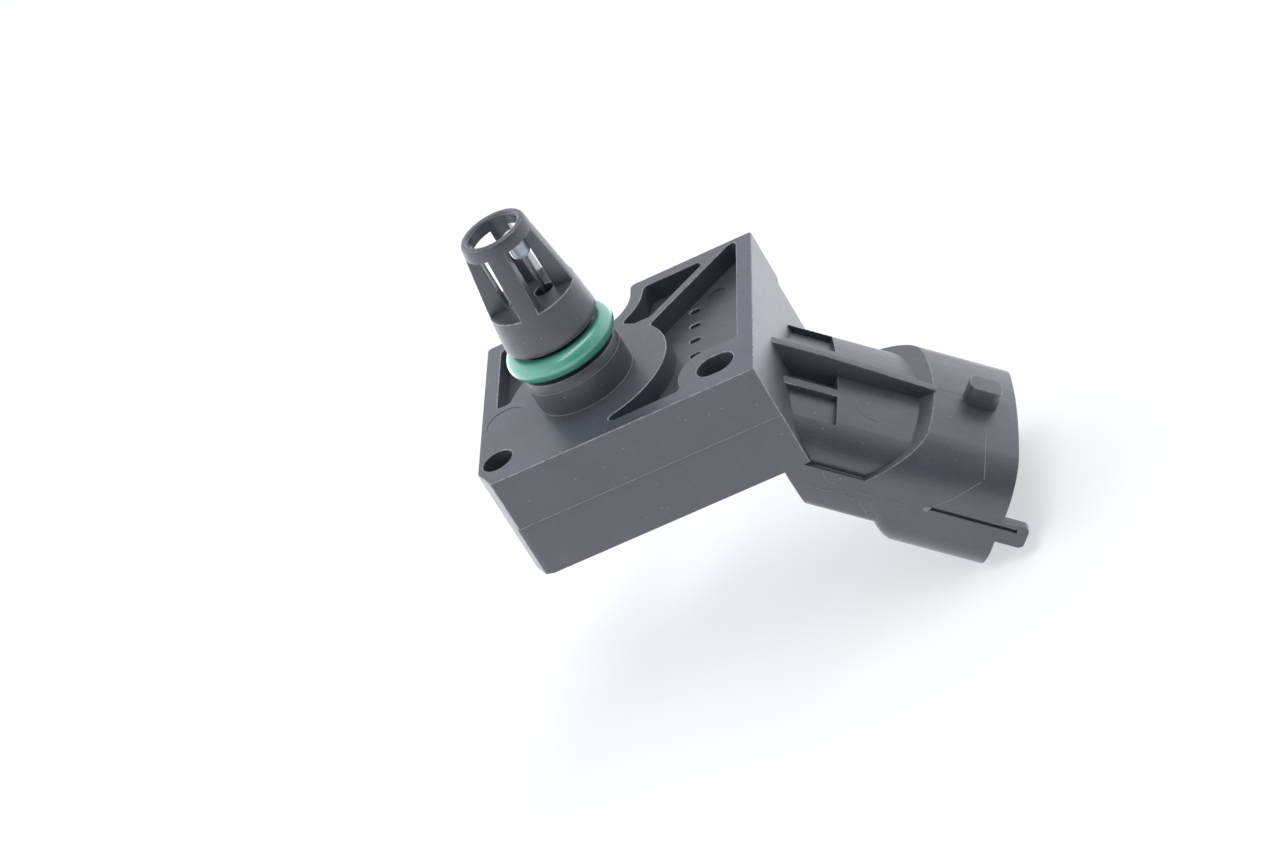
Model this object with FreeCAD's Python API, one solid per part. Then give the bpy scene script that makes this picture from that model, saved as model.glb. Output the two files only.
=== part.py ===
import FreeCAD, Part
import math
import os

from FreeCAD import Placement, Rotation, Vector

os.makedirs("parts", exist_ok=True)

# Millimetres. The origin is on the axis of the port, in the plane of the flange face.
# +Z runs along the port to its open tip, +X points to the side with the connector.

# Block: a flange plate and a slightly smaller body behind it
block_length = 51.0
block_width = 45.0
block_height = 20.65
flange_height = 10.1
body_inset_front = 0.8
body_inset_back = 0.6
body_inset_right = 0.15
port_from_left = 19.86
port_from_front = 19.42
corner_cut_x = 2.56
corner_cut_y = 4.82
body_facet_x = 1.6
body_facet_y = 0.7
back_corner_radius = 0.8
body_corner_radius = 1.2

# Screw holes: a round one at the left, a slotted one at the right
hole_from_left = 3.66
hole_from_front = 6.64
hole_radius = 2.75
slot_from_right = 7.04
slot_travel = 1.25

# Clearance notch in the back edge
notch_from_front = 41.82
notch_radius = 7.9
notch_mouth_radius = 1.0

# Shallow pockets in the flange face
pocket_depth = 3.5
pocket_wall_right = 3.0
pocket_wall_front = 3.3
pocket_wall_left = 2.76
pocket_wall_back = 2.5
pocket_corner_radius = 1.0
notch_wall = 2.5
land_radius = 15.1
slot_land_radius = 6.2
slot_land_margin = 5.65
rib_offset = 1.0
rib_thickness = 1.7
front_tip_x = 4.4
left_tip_y = 4.0
right_tip_y = 12.2

# Small marks left by the mould: oblong pits in the floor of one pocket, and shallow round prints
pit_count = 4
pit_from_right = 12.5
pit_first_y = -0.5
pit_pitch = 4.77
pit_length = 2.0
pit_width = 1.2
pit_depth = 0.7
floor_print_from_right = 8.3
floor_print_y = 15.9
floor_print_radius = 1.75
floor_print_depth = 0.15
face_print_from_left = 4.6
face_print_y = -1.0
face_print_radius = 3.5
face_print_depth = 0.06

# Port: collar, seal groove, cone and cage
collar_radius = 8.8
collar_edge_height = 4.6
collar_top_radius = 8.45
groove_floor_z = 6.3
groove_width = 5.4
seal_section = 3.9
seal_ring_radius = 7.9
seal_clearance = 0.05
cone_base_radius = 8.55
cone_base_round = 0.7
cone_shoulder_z = 14.0
cone_shoulder_radius = 8.42
ledge_z = 18.9
ledge_radius = 7.92
tip_z = 32.7
tip_radius = 5.85
tip_round = 0.5
tip_band = 2.4
bore_radius = 4.5
rim_chamfer = 0.4
post_width_x = 2.4
post_width_y = 3.3

# Two channels from the cage floor down to the electronics
channel_offset = 2.3
channel_radius = 1.75

# Chamber in the back of the block, its cover and its bead of adhesive
chamber_left = 13.0
chamber_from_right = 12.64
chamber_front = 7.4
chamber_back = 11.8
chamber_roof = 6.5
chamber_corner_radius = 2.0
cover_margin = 1.0
cover_thickness = 1.8
cover_clearance = 0.2
adhesive_thickness = 0.4
adhesive_width = 0.8

# Pressure cell
cell_x = 4.6
header_radius = 4.6
header_thickness = 1.4
header_bottom = 14.4
cap_radius = 3.9
cap_rim_radius = 4.4
cap_rim_thickness = 0.3
cap_height = 3.6
cap_wall = 0.3
tube_radius = 1.3
tube_wall = 0.3
tube_length = 5.1
well_radius = 2.4
well_depth = 4.1
tube_seal_length = 1.6
glass_side = 2.6
glass_height = 1.0
chip_side = 2.2
chip_height = 0.4
gel_height = 0.9
pin_radius = 0.25
pin_circle = 2.9
pin_above = 0.7
glass_bead_radius = 0.55
weld_clearance = 0.02

# Lead frame of four flat terminals, bent once on their way to the plug
lead_z = 16.2
lead_thickness = 0.6
lead_width = 1.5
lead_pitch = 4.5
pad_overhang = 0.75
terminal_tip_a = 27.2
terminal_u = -1.8
capacitor_length = 4.5
capacitor_width = 2.5
capacitor_height = 1.4
capacitor_1_from_chamber_end = 6.0
capacitor_2_x = 8.0

# Thermistor in the cage
bead_bottom_z = 25.9
bead_height = 5.0
bead_radius = 1.75
bead_end_radius = 1.2
thermistor_x = 2.4
wire_radius = 0.22
wire_spacing = 1.8
potting_length = 4.5

# Connector: it leaves the back right edge of the block at 45 degrees
tilt_degrees = 45.0
plug_centre_y = 0.2
neck_centre_y = 0.6
shroud_centre_y = 1.1
neck_half_width = 18.0
neck_top = 6.7
neck_crown_radius = 60.0
neck_corner_radius = 6.0
neck_step = 0.9
neck_crease = 4.35
neck_bottom = 9.1
neck_bottom_inset = 0.8
neck_bottom_radius = 2.0
neck_start_from_right = 4.85
neck_pocket_end = 2.75
neck_pocket_depth = 2.2
neck_outer_pocket_depth = 1.1
neck_rib_inner = 5.3
neck_rib_outer = 7.2
neck_pocket_outer = 14.2
fin_thickness = 1.7
fin_near = 0.9
fin_top_start = 9.7
fin_top_end = 8.9
shroud_top = 8.6
shroud_crown_radius = 75.0
shroud_corner_radius = 8.4
shroud_bottom = 12.6
shroud_bottom_radius = 5.0
shroud_wall = 2.0
shroud_mouth = 33.8
shoulder_below_block = 7.4
shoulder_beyond_block = 3.35
shoulder_round = 2.5
cavity_depth = 15.0
mouth_chamfer = 0.6
lug_start = 24.3
lug_length = 5.7
lug_width = 4.3
lug_top = 12.0
lug_corner_radius = 1.4
rail_start = 20.4
rail_reach = 4.8
rail_top = 1.66
rail_bottom = 5.75
rail_thickness = 3.8
rail_round = 1.0
rail_groove_u = 2.75
rail_groove = 0.6
rail_groove_run_in = 1.4

# Edges of the block, worked out from the sizes above
left = -port_from_left
right = left + block_length
front = -port_from_front
back = front + block_width
foot = -block_height
step_z = -flange_height
hole_x = left + hole_from_left
hole_y = front + hole_from_front
slot_x = right - slot_from_right
chamber_right = right - chamber_from_right
notch_y = front + notch_from_front

joined_by = 0.5
reach = 200.0


def block(x0, x1, y0, y1, z0, z1):
    return Part.makeBox(x1 - x0, y1 - y0, z1 - z0, Vector(x0, y0, z0))


def rod(x, y, radius, z0, z1):
    return Part.makeCylinder(radius, z1 - z0, Vector(x, y, z0))


def prism(points, z0, z1):
    corners = [Vector(x, y, z0) for x, y in points]
    corners.append(corners[0])
    face = Part.Face(Part.makePolygon(corners))
    return face.extrude(Vector(0, 0, z1 - z0))


def turned(points):
    corners = [Vector(radius, 0, z) for radius, z in points]
    corners.append(corners[0])
    face = Part.Face(Part.makePolygon(corners))
    return face.revolve(Vector(0, 0, 0), Vector(0, 0, 1), 360)


def upright_edges(shape):
    found = []
    for edge in shape.Edges:
        start = edge.Vertexes[0].Point
        end = edge.Vertexes[-1].Point
        flat = math.hypot(start.x - end.x, start.y - end.y)
        if flat < 1e-6 and abs(start.z - end.z) > 1e-6:
            found.append(edge)
    return found


def near(edge, x, y, within):
    point = edge.Vertexes[0].Point
    return math.hypot(point.x - x, point.y - y) < within


def round_corners(shape, radius):
    # shrinking and growing the outline again rounds every outer corner of it
    low = shape.BoundBox.ZMin
    floors = [face for face in shape.Faces if abs(face.CenterOfMass.z - low) < 1e-6]
    outline_face = floors[0].makeOffset2D(-radius).makeOffset2D(radius)
    if isinstance(outline_face, Part.Wire) or not outline_face.Faces:
        outline_face = Part.Face(outline_face)
    return outline_face.extrude(Vector(0, 0, shape.BoundBox.ZLength))


def write(name, shape):
    shape.exportStep("parts/" + name + ".step")
    box = shape.BoundBox
    print(name, len(shape.Solids), round(shape.Volume, 3), shape.isValid(),
          [round(v, 2) for v in (box.XMin, box.XMax, box.YMin, box.YMax, box.ZMin, box.ZMax)])


# Block

flange = prism([(left + corner_cut_x, front), (right, front), (right, back), (left, back),
                (left, front + corner_cut_y)], step_z, 0.0)
rounded = []
for edge in upright_edges(flange):
    if near(edge, left, back, 0.1) or near(edge, right, back, 0.1):
        rounded.append(edge)
flange = flange.makeFillet(back_corner_radius, rounded)

# the body shares the flange's cut corner and left side, and stands back from the other sides
body_front = front + body_inset_front
body_back = back - body_inset_back
body_right = right - body_inset_right
facet_y = body_front + body_facet_y
facet_x = left + corner_cut_x * (front + corner_cut_y - facet_y) / corner_cut_y
body = prism([(facet_x + body_facet_x, body_front), (body_right, body_front),
              (body_right, body_back), (left, body_back), (left, front + corner_cut_y),
              (facet_x, facet_y)], foot, step_z)
rounded = []
for edge in upright_edges(body):
    if near(edge, left, body_back, 0.1) or near(edge, body_right, body_back, 0.1):
        rounded.append(edge)
body = body.makeFillet(body_corner_radius, rounded)

housing = flange.fuse(body)

# Notch through the full depth, open to the back edge, with rounded mouth corners
notch = rod(0, notch_y, notch_radius, foot - 1, 1)
notch = notch.fuse(block(-notch_radius, notch_radius, notch_y, back + 5, foot - 1, 1))
mouth = notch_mouth_radius
for side in (-1, 1):
    corner_x = side * (notch_radius + mouth)
    square = block(min(side * notch_radius, corner_x), max(side * notch_radius, corner_x),
                   back - mouth, back + 5, foot - 1, 1)
    keep = rod(corner_x, back - mouth, mouth, foot - 2, 2)
    notch = notch.fuse(square.cut(keep))
housing = housing.cut(notch)

# Screw hole and slot, both through the full depth
hole = rod(hole_x, hole_y, hole_radius, foot - 1, 1)


def slot_shape(radius, z0, z1):
    half = slot_travel / 2
    shape = rod(slot_x - half, hole_y, radius, z0, z1)
    shape = shape.fuse(rod(slot_x + half, hole_y, radius, z0, z1))
    return shape.fuse(block(slot_x - half, slot_x + half, hole_y - radius, hole_y + radius, z0, z1))


# Pockets in the flange face

pocket_left = left + pocket_wall_left
pocket_right = right - pocket_wall_right
pocket_front = front + pocket_wall_front
pocket_back = back - pocket_wall_back
pocket_floor = -pocket_depth

land = rod(0, 0, land_radius, pocket_floor - 1, 2)
notch_keep = rod(0, notch_y, notch_radius + notch_wall, pocket_floor - 1, 2)
notch_keep = notch_keep.fuse(block(-notch_radius - notch_wall, notch_radius + notch_wall,
                                   notch_y, back + 5, pocket_floor - 1, 2))
slot_near = slot_x - slot_travel / 2
slot_keep = rod(slot_near, hole_y, slot_land_radius, pocket_floor - 1, 2)
slot_land_back = hole_y + slot_land_margin
slot_keep = slot_keep.fuse(block(slot_near, right, front, slot_land_back, pocket_floor - 1, 2))
slot_keep = slot_keep.common(block(left, right, front, slot_land_back, pocket_floor - 1, 2))
half_rib = rib_thickness / 2 * math.sqrt(2)


def pocket_region(points):
    region = prism(points, pocket_floor, 1.0)
    return region.cut(land).cut(notch_keep)


low = [(front_tip_x, pocket_front), (pocket_right, pocket_front),
       (pocket_right, pocket_right - rib_offset - half_rib), (0, -rib_offset - half_rib)]
pocket_right_lower = pocket_region(low).cut(slot_keep)
high = [(0, right_tip_y), (right_tip_y + rib_offset - half_rib, right_tip_y),
        (pocket_back + rib_offset - half_rib, pocket_back), (0, pocket_back)]
pocket_right_upper = pocket_region(high)
side = [(pocket_left, left_tip_y), (-land_radius * 0.5, left_tip_y), (-land_radius * 0.5, pocket_back),
        (pocket_left, pocket_back)]
pocket_left_side = pocket_region(side)

for region in (pocket_right_lower, pocket_right_upper, pocket_left_side):
    pieces = sorted(region.Solids, key=lambda s: -s.Volume)
    housing = housing.cut(round_corners(pieces[0], pocket_corner_radius))

pit_x = right - pit_from_right
pit_end = (pit_length - pit_width) / 2
for number in range(pit_count):
    y = pit_first_y + number * pit_pitch
    pit_floor = pocket_floor - pit_depth
    pit = rod(pit_x - pit_end, y, pit_width / 2, pit_floor, pocket_floor + 1)
    pit = pit.fuse(rod(pit_x + pit_end, y, pit_width / 2, pit_floor, pocket_floor + 1))
    pit = pit.fuse(block(pit_x - pit_end, pit_x + pit_end, y - pit_width / 2, y + pit_width / 2,
                         pit_floor, pocket_floor + 1))
    housing = housing.cut(pit)
housing = housing.cut(rod(right - floor_print_from_right, floor_print_y, floor_print_radius,
                          pocket_floor - floor_print_depth, pocket_floor + 1))
housing = housing.cut(rod(left + face_print_from_left, face_print_y, face_print_radius, -face_print_depth, 1))

# Port

groove_top_z = groove_floor_z + groove_width
groove_radius = seal_ring_radius - seal_section / 2 - seal_clearance
cone_low = groove_top_z
k = cone_base_round
port_profile = [
    (0, -joined_by), (collar_radius, -joined_by), (collar_radius, collar_edge_height),
    (collar_top_radius, groove_floor_z), (groove_radius, groove_floor_z), (groove_radius, cone_low),
    (cone_base_radius - k, cone_low), (cone_base_radius - 0.3 * k, cone_low + 0.3 * k),
    (cone_base_radius, cone_low + k), (cone_shoulder_radius, cone_shoulder_z),
    (ledge_radius, ledge_z), (tip_radius + 0.15 * tip_round, tip_z - tip_round),
    (tip_radius - 0.3 * tip_round, tip_z - 0.25 * tip_round),
    (tip_radius - tip_round, tip_z), (0, tip_z),
]
port = turned(port_profile)
bore = rod(0, 0, bore_radius, ledge_z, tip_z + 1)
rim = Part.makeCone(bore_radius, bore_radius + 2 * rim_chamfer, 2 * rim_chamfer,
                    Vector(0, 0, tip_z - rim_chamfer))
window_top = tip_z - tip_band
windows = rod(0, 0, ledge_radius + 2, ledge_z, window_top)
windows = windows.cut(block(-reach, reach, -post_width_x / 2, post_width_x / 2, ledge_z - 1, tip_z))
windows = windows.cut(block(-post_width_y / 2, post_width_y / 2, -reach, reach, ledge_z - 1, tip_z))
port = port.cut(bore).cut(rim).cut(windows)
housing = housing.fuse(port)

# Connector: neck, shroud, fin, latch lug and side rails

# In the connector's own frame X runs out along the plug direction, Z is its upper side.
# That frame starts at the lower right edge of the block.
tilt = Rotation(Vector(0, 1, 0), tilt_degrees)
plug_frame = Placement(Vector(right, plug_centre_y, foot), tilt)
neck_frame = Placement(Vector(right, neck_centre_y, foot), tilt)
shroud_frame = Placement(Vector(right, shroud_centre_y, foot), tilt)
# the near side of the shroud is level with the front of the body
shroud_half_width = shroud_centre_y - body_front


def placed(shape, frame):
    moved = shape.copy()
    moved.Placement = frame
    return moved


def line(p, q, a):
    return Part.LineSegment(Vector(a, p[0], p[1]), Vector(a, q[0], q[1])).toShape()


def arc(p, q, r, a):
    return Part.Arc(Vector(a, p[0], p[1]), Vector(a, q[0], q[1]), Vector(a, r[0], r[1])).toShape()


def oval(half_width, top, crown, corner, bottom, bottom_corner, a0, a1):
    # crowned top, big upper corners tangent to the crown, straight sides, rounded lower corners
    corner_v = half_width - corner
    corner_u = top - crown + math.sqrt((crown - corner) ** 2 - corner_v ** 2)
    lean = math.atan2(corner_v, corner_u - top + crown)
    touch = (corner_v + corner * math.sin(lean), corner_u + corner * math.cos(lean))
    middle_angle = (math.pi / 2 + lean) / 2
    middle = (corner_v + corner * math.sin(middle_angle), corner_u + corner * math.cos(middle_angle))
    root = math.sqrt(0.5)
    low_middle = (half_width - bottom_corner + bottom_corner * root,
                  -bottom + bottom_corner - bottom_corner * root)
    low_side = (half_width, -bottom + bottom_corner)
    low_floor = (half_width - bottom_corner, -bottom)

    def flip(p):
        return (-p[0], p[1])

    upper_side = (half_width, corner_u)
    edges = [
        arc(flip(touch), (0, top), touch, a0),
        arc(touch, middle, upper_side, a0),
        line(upper_side, low_side, a0),
        arc(low_side, low_middle, low_floor, a0),
        line(low_floor, flip(low_floor), a0),
        arc(flip(low_floor), flip(low_middle), flip(low_side), a0),
        line(flip(low_side), flip(upper_side), a0),
        arc(flip(upper_side), flip(middle), flip(touch), a0),
    ]
    face = Part.Face(Part.Wire(edges))
    return face.extrude(Vector(a1 - a0, 0, 0))


neck_length = shroud_mouth - cavity_depth
side_plane = shroud_half_width
neck_back = -2 * neck_bottom - 4
upper_neck = oval(neck_half_width, neck_top, neck_crown_radius, neck_corner_radius,
                  neck_bottom - 1, neck_bottom_radius, neck_back, neck_length)
skirt_foot = side_plane - neck_bottom_inset
skirt_points = [(-side_plane, -neck_step), (side_plane, -neck_step), (side_plane, -neck_crease),
                (skirt_foot, -neck_bottom), (-skirt_foot, -neck_bottom), (-side_plane, -neck_crease)]
skirt_corners = [Vector(neck_back, v, u) for v, u in skirt_points]
skirt = Part.Face(Part.makePolygon(skirt_corners + [skirt_corners[0]]))
skirt = skirt.extrude(Vector(neck_length - neck_back, 0, 0))
low_edges = []
for edge in skirt.Edges:
    ends = [v.Point for v in edge.Vertexes]
    along = abs(ends[0].x - ends[1].x) > 1
    if along and abs(ends[0].z + neck_bottom) < 1e-6 and abs(ends[1].z + neck_bottom) < 1e-6:
        low_edges.append(edge)
skirt = skirt.makeFillet(neck_bottom_radius, low_edges)

# Lightening pockets at the root of the neck, on both sides of the fin
fin_far = fin_thickness - fin_near


def lowered_neck(depth):
    return oval(neck_half_width - depth, neck_top - depth, neck_crown_radius - depth,
                neck_corner_radius - depth, neck_bottom - 1, neck_bottom_radius, neck_back, neck_length)


inner_floor = lowered_neck(neck_pocket_depth)
outer_floor = lowered_neck(neck_outer_pocket_depth)
for side in (-1, 1):
    inner = fin_near + neck_centre_y - plug_centre_y
    if side > 0:
        inner = fin_far - neck_centre_y + plug_centre_y
    for v0, v1, floor in ((inner, neck_rib_inner, inner_floor),
                          (neck_rib_outer, neck_pocket_outer, outer_floor)):
        lows, highs = sorted((side * v0, side * v1))
        hollow = Part.makeBox(neck_pocket_end - neck_back, highs - lows, 2 * neck_top,
                              Vector(neck_back, lows, 0))
        upper_neck = upper_neck.cut(hollow.cut(floor))

fin_points = [Vector(neck_back, -fin_near, neck_top / 2), Vector(neck_back, -fin_near, fin_top_start),
              Vector(0, -fin_near, fin_top_start), Vector(neck_length + 2, -fin_near, fin_top_end),
              Vector(neck_length + 2, -fin_near, neck_top / 2)]
fin = Part.Face(Part.makePolygon(fin_points + [fin_points[0]])).extrude(Vector(0, fin_thickness, 0))

neck = placed(upper_neck, neck_frame).fuse(placed(skirt, shroud_frame))
neck_start = right - neck_start_from_right
shoulder_z = foot - shoulder_below_block
shoulder_x = right + shoulder_beyond_block
neck = neck.common(block(neck_start, reach, -reach, reach, -reach, reach))
behind_step = block(neck_start - 1, right - joined_by, -reach, reach, foot, reach)
neck = neck.cut(behind_step)
beyond_shoulder = block(shoulder_x + shoulder_round, reach, -reach, reach, -reach, shoulder_z - joined_by)
neck = neck.cut(beyond_shoulder)
fin = placed(fin, plug_frame)
fin = fin.common(block(right - joined_by, reach, -reach, reach, shoulder_z, reach))

shroud = placed(oval(shroud_half_width, shroud_top, shroud_crown_radius, shroud_corner_radius,
                     shroud_bottom, shroud_bottom_radius, 0, shroud_mouth), shroud_frame)
shroud = shroud.common(block(shoulder_x, reach, -reach, reach, -reach, shoulder_z))
heel_edges = []
for edge in shroud.Edges:
    ends = [v.Point for v in edge.Vertexes]
    across = len(ends) == 2 and abs(ends[0].y - ends[1].y) > shroud_half_width
    if across and abs(ends[0].x - shoulder_x) < 1e-6 and ends[0].z < shoulder_z - 1:
        heel_edges.append(edge)
shroud = shroud.makeFillet(shoulder_round, heel_edges)

lug = block(lug_start, lug_start + lug_length, -lug_width / 2, lug_width / 2,
            shroud_top - shroud_wall, lug_top)
lug = lug.makeFillet(lug_corner_radius, upright_edges(lug))

# A tab on each side runs out past the mouth, and a groove runs into it along the side of the shroud
tabs = []
grooves = []
tab_tip = shroud_mouth + rail_reach
groove_end = tab_tip - 2 * rail_round
for side in (-1, 1):
    outer = side * shroud_half_width
    inner = side * (shroud_half_width - rail_thickness)
    y0, y1 = sorted((outer, inner))
    tab = block(shroud_mouth - joined_by, tab_tip, y0, y1, -rail_bottom, -rail_top)
    tip_edges = []
    for edge in tab.Edges:
        ends = [v.Point for v in edge.Vertexes]
        if min(p.x for p in ends) > shroud_mouth and abs(ends[0].y - ends[1].y) > 1:
            tip_edges.append(edge)
    tabs.append(tab.makeFillet(rail_round, tip_edges))
    depth = outer - side * rail_groove
    beyond = outer + side * rail_groove
    groove_low = -rail_groove_u - rail_groove / 2
    run = [Vector(rail_start, outer, groove_low), Vector(rail_start + rail_groove_run_in, depth, groove_low),
           Vector(groove_end, depth, groove_low), Vector(groove_end, beyond, groove_low),
           Vector(rail_start, beyond, groove_low)]
    groove = Part.Face(Part.makePolygon(run + [run[0]]))
    grooves.append(groove.extrude(Vector(0, 0, rail_groove)))

cavity = placed(oval(shroud_half_width - shroud_wall, shroud_top - shroud_wall,
                     shroud_crown_radius - shroud_wall, shroud_corner_radius - shroud_wall,
                     shroud_bottom - shroud_wall, shroud_bottom_radius - shroud_wall,
                     shroud_mouth - cavity_depth, shroud_mouth + rail_reach + 1), shroud_frame)

housing = housing.fuse(neck).fuse(shroud).fuse(fin).fuse(placed(lug, plug_frame))
for tab in tabs:
    housing = housing.fuse(placed(tab, shroud_frame))
housing = housing.cut(cavity)
for groove in grooves:
    housing = housing.cut(placed(groove, shroud_frame))
housing = housing.cut(hole).cut(slot_shape(hole_radius, foot - 10, 1))

# Chamber and channels

roof = -chamber_roof
cover_top = foot + cover_thickness
ledge_of_cover = cover_top + adhesive_thickness


def rounded_box(margin, corner, z0, z1):
    shape = block(-chamber_left - margin, chamber_right + margin, -chamber_front - margin,
                  chamber_back + margin, z0, z1)
    return shape.makeFillet(corner, upright_edges(shape))


chamber = rounded_box(0.0, chamber_corner_radius, foot - 1, roof)
recess = rounded_box(cover_margin, chamber_corner_radius + cover_margin, foot - 1, ledge_of_cover)
well_top = roof + well_depth
well = rod(-cell_x, 0, well_radius, roof - 1, well_top)
channel_foot = well_top - 2 * channel_radius * 0.6
pressure_channel = rod(-channel_offset, 0, channel_radius, channel_foot, ledge_z + 1)
thermistor_channel = rod(channel_offset, 0, channel_radius, roof - 1, ledge_z + 1)
housing = housing.cut(chamber).cut(recess).cut(well).cut(pressure_channel).cut(thermistor_channel)

# Terminals

tan_half = math.tan(math.radians(tilt_degrees) / 2)
lead_top = -lead_z + lead_thickness / 2
lead_bottom = -lead_z - lead_thickness / 2
cosine = math.cos(math.radians(tilt_degrees))
sine = math.sin(math.radians(tilt_degrees))


def plug_point(a, u):
    return (right + a * cosine + u * sine, foot - a * sine + u * cosine)


# the bend is where the level lead meets the line that runs out along the plug direction
bend_a = (foot + terminal_u * cosine + lead_z) / sine
bend_x = plug_point(bend_a, terminal_u)[0]
tip_x, tip_height = plug_point(terminal_tip_a, terminal_u)
half_lead = lead_thickness / 2


def lead_strip(y, x_end, width):
    upper = [(x_end, -lead_z + half_lead), (bend_x + half_lead * tan_half, -lead_z + half_lead),
             (tip_x + half_lead * sine, tip_height + half_lead * cosine)]
    lower = [(tip_x - half_lead * sine, tip_height - half_lead * cosine),
             (bend_x - half_lead * tan_half, -lead_z - half_lead), (x_end, -lead_z - half_lead)]
    corners = [Vector(x, y - width / 2, z) for x, z in upper + lower]
    face = Part.Face(Part.makePolygon(corners + [corners[0]]))
    return face.extrude(Vector(0, width, 0))


pin_side = pin_circle * math.sqrt(0.5)
pin_places = [(-cell_x + pin_side, -pin_side), (-cell_x + pin_side, pin_side), (-cell_x - pin_side, pin_side)]
rows = [-1.5 * lead_pitch, -0.5 * lead_pitch, 0.5 * lead_pitch, 1.5 * lead_pitch]
wire_places = [(thermistor_x, -wire_spacing / 2), (thermistor_x, wire_spacing / 2)]


def pad(x, y0, y1):
    y_low, y_high = sorted((y0, y1))
    return block(x - lead_width / 2, x + lead_width / 2, y_low, y_high, lead_bottom, lead_top)


def drill(x, y, radius):
    return rod(x, y, radius + weld_clearance, lead_bottom - 1, lead_top + 1)


terminals = []
# supply: outer front lead, its arm reaches in to the first pin of the cell
x_pin, y_pin = pin_places[0]
strip = lead_strip(rows[0], x_pin - lead_width / 2, lead_width)
strip = strip.fuse(pad(x_pin, rows[0], y_pin + pad_overhang))
terminals.append(strip.cut(drill(x_pin, y_pin, pin_radius)))
# thermistor: inner front lead, it ends at the first wire
x_wire, y_wire = wire_places[0]
strip = lead_strip(rows[1], x_wire - lead_width / 2, lead_width)
strip = strip.fuse(pad(x_wire, rows[1], y_wire + 0.5 * pad_overhang))
terminals.append(strip.cut(drill(x_wire, y_wire, wire_radius)))
# ground: inner back lead, shared by the second wire and the second pin
x_pin, y_pin = pin_places[1]
x_wire, y_wire = wire_places[1]
strip = lead_strip(rows[2], x_pin - lead_width / 2, lead_width)
strip = strip.fuse(pad(x_wire, rows[2], y_wire - 0.5 * pad_overhang))
strip = strip.fuse(pad(x_pin, rows[2], y_pin - pad_overhang))
terminals.append(strip.cut(drill(x_pin, y_pin, pin_radius)).cut(drill(x_wire, y_wire, wire_radius)))
# signal: outer back lead, its arm reaches in to the third pin
x_pin, y_pin = pin_places[2]
strip = lead_strip(rows[3], x_pin - lead_width / 2, lead_width)
strip = strip.fuse(pad(x_pin, rows[3], y_pin - pad_overhang))
terminals.append(strip.cut(drill(x_pin, y_pin, pin_radius)))

terminals = [t.removeSplitter() for t in terminals]
for terminal in terminals:
    housing = housing.cut(terminal)

# Thermistor

wire_low = lead_bottom - 0.4
wire_high = bead_bottom_z + 0.45 * bead_height
wires = [rod(x, y, wire_radius, wire_low, wire_high) for x, y in wire_places]

bead = rod(thermistor_x, 0, bead_radius, bead_bottom_z, bead_bottom_z + bead_height)
ends = [edge for edge in bead.Edges if isinstance(edge.Curve, Part.Circle)]
bead = bead.makeFillet(bead_end_radius, ends)

potting = rod(channel_offset, 0, channel_radius, roof, roof + potting_length)
for wire in wires:
    bead = bead.cut(wire)
    potting = potting.cut(wire)

# Pressure cell

header_low = -header_bottom
header_high = header_low + header_thickness
header = rod(-cell_x, 0, header_radius, header_low, header_high)
glass_beads = []
pins = []
for x, y in pin_places:
    header = header.cut(rod(x, y, glass_bead_radius, header_low - 1, header_high + 1))
    pin = rod(x, y, pin_radius, wire_low, header_high + pin_above)
    glass_beads.append(rod(x, y, glass_bead_radius, header_low, header_high).cut(pin))
    pins.append(pin)

cap_top = header_high + cap_height
cap = rod(-cell_x, 0, cap_radius, header_high, cap_top)
cap = cap.fuse(rod(-cell_x, 0, cap_rim_radius, header_high, header_high + cap_rim_thickness))
cap = cap.cut(rod(-cell_x, 0, cap_radius - cap_wall, header_high - 1, cap_top - cap_wall))
cap = cap.cut(rod(-cell_x, 0, tube_radius, cap_top - cap_wall - 1, cap_top + 1))
tube_low = cap_top - cap_wall
tube = rod(-cell_x, 0, tube_radius, tube_low, tube_low + tube_length)
tube = tube.cut(rod(-cell_x, 0, tube_radius - tube_wall, tube_low - 1, tube_low + tube_length + 1))
tube_seal = rod(-cell_x, 0, well_radius, roof, roof + tube_seal_length)
tube_seal = tube_seal.cut(rod(-cell_x, 0, tube_radius, roof - 1, roof + tube_seal_length + 1))


def square_block(side, z0, z1):
    return block(-cell_x - side / 2, -cell_x + side / 2, -side / 2, side / 2, z0, z1)


glass_top = header_high + glass_height
chip_top = glass_top + chip_height
glass = square_block(glass_side, header_high, glass_top)
chip = square_block(chip_side, glass_top, chip_top)
gel = square_block(chip_side, chip_top, chip_top + gel_height)
gel = gel.makeFillet(chip_side / 4, upright_edges(gel))

# Seal ring, cover, adhesive and capacitors

seal_z = groove_floor_z + groove_width / 2
seal_ring = Part.makeTorus(seal_ring_radius, seal_section / 2, Vector(0, 0, seal_z))

cover_edge = cover_margin - cover_clearance
cover = rounded_box(cover_edge, chamber_corner_radius + cover_edge, foot, cover_top)
adhesive = rounded_box(adhesive_width, chamber_corner_radius + adhesive_width,
                       cover_top, ledge_of_cover)
adhesive = adhesive.cut(rounded_box(0.0, chamber_corner_radius, foot - 2, roof))


def capacitor(x, y):
    low_z = lead_top
    return block(x - capacitor_width / 2, x + capacitor_width / 2, y - capacitor_length / 2,
                 y + capacitor_length / 2, low_z, low_z + capacitor_height)


capacitors = [capacitor(chamber_right - capacitor_1_from_chamber_end, (rows[2] + rows[3]) / 2),
              capacitor(capacitor_2_x, (rows[1] + rows[2]) / 2)]

# Files

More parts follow.
